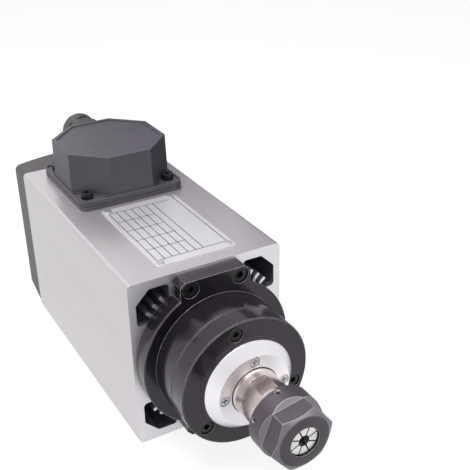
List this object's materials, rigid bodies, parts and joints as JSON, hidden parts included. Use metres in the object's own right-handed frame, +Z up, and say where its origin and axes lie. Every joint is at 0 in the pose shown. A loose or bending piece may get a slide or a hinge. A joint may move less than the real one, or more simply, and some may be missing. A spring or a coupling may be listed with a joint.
{
  "type": "motor spindle",
  "caption": "Square air-cooled motor spindle with a collet nose, bolted front flange, finned corner air ducts, terminal box with cable gland and rear fan cowl",
  "frame": {"origin": "middle of the bounding box on the flat underside of the motor housing, z = 0 at the underside", "axes": "+Y runs along the spindle's axis from the collet nose to the fan cowl, +Z up through the terminal box, +X to the right seen from the nose"},
  "size_m": [0.09, 0.2856, 0.1295],
  "materials": {
    "housing": "satin anodised extrusion, silver",
    "flange": "black anodised, slightly glossy",
    "bearing_cover": "turned and polished",
    "shaft": "ground steel",
    "collet": "ground and polished spring steel",
    "nut": "black oxide with a bright ground face",
    "black_screw": "black oxide",
    "steel_screw": "zinc plated",
    "box": "fine textured, dark grey",
    "gasket": "black rubber",
    "block": "off-white moulded plastic",
    "brass_screw": "plain brass",
    "gland": "black nylon",
    "cowl": "black moulded plastic",
    "fan": "dark moulded plastic",
    "plate": "thin satin sheet",
    "endplate": "turned casting",
    "lamination": "stacked electrical sheet",
    "copper": "lacquered copper wire",
    "rotor_ring": "cast",
    "bearing_steel": "polished bearing steel",
    "spring_steel": "hardened spring steel"
  },
  "bodies": {
    "housing": {"motor_housing": "housing", "front_flange": "flange", "flange_screws": "black_screw", "front_cap": "flange", "cap_screws": "black_screw", "bearing_cover": "bearing_cover", "cover_screws": "steel_screw", "front_bearing_outer_ring": "bearing_steel", "second_bearing_outer_ring": "bearing_steel", "outer_spacer": "bearing_steel", "rear_bearing_outer_ring": "bearing_steel", "rear_endplate": "endplate", "endplate_screws": "black_screw", "preload_spring": "spring_steel", "stator_core": "lamination", "stator_windings": "copper", "fan_cowl": "cowl", "cowl_screws": "black_screw", "terminal_base": "box", "terminal_gasket": "gasket", "terminal_cover": "box", "terminal_cover_screws": "black_screw", "terminal_block": "block", "terminal_screws": "brass_screw", "gland_body": "gland", "gland_washer": "gasket", "gland_nut": "gland", "gland_seal": "gasket", "gland_locknut": "gland", "nameplate": "plate", "nameplate_rivets": "plate"},
    "rotor": {"spindle_shaft": "shaft", "rotor_core": "lamination", "rotor_end_rings": "rotor_ring", "front_bearing_inner_ring": "bearing_steel", "second_bearing_inner_ring": "bearing_steel", "inner_spacer": "bearing_steel", "bearing_locknut": "steel_screw", "rear_bearing_inner_ring": "bearing_steel", "cooling_fan": "fan", "fan_clip": "spring_steel"},
    "front_cages": {"front_bearing_balls": "bearing_steel", "second_bearing_balls": "bearing_steel"},
    "rear_cage": {"rear_bearing_balls": "bearing_steel"},
    "collet": {"collet": "collet"},
    "nut": {"collet_nut": "nut"}
  },
  "joints": [
    {"name": "rotor_spin", "type": "hinge", "parent": "housing", "child": "rotor", "pos_m": [0, -0.0504, 0.05], "axis": [0, 1, 0], "continuous": true},
    {"name": "front_cage_spin", "type": "hinge", "parent": "housing", "child": "front_cages", "pos_m": [0, -0.0624, 0.05], "axis": [0, 1, 0], "continuous": true},
    {"name": "rear_cage_spin", "type": "hinge", "parent": "housing", "child": "rear_cage", "pos_m": [0, 0.1128, 0.05], "axis": [0, 1, 0], "continuous": true},
    {"name": "collet_draw", "type": "slide", "parent": "rotor", "child": "collet", "axis": [0, -1, 0], "range_m": [0, 0.0045]},
    {"name": "nut_turn", "type": "hinge", "parent": "collet", "child": "nut", "pos_m": [0, -0.1314, 0.05], "axis": [0, -1, 0], "range_deg": [0, 1080]}
  ],
  "couplings": [
    {"joint": "front_cage_spin", "follows": "rotor_spin", "ratio": 0.4189},
    {"joint": "rear_cage_spin", "follows": "rotor_spin", "ratio": 0.3974},
    {"joint": "nut_turn", "follows": "collet_draw", "rad_per_m": 4188.8}
  ]
}
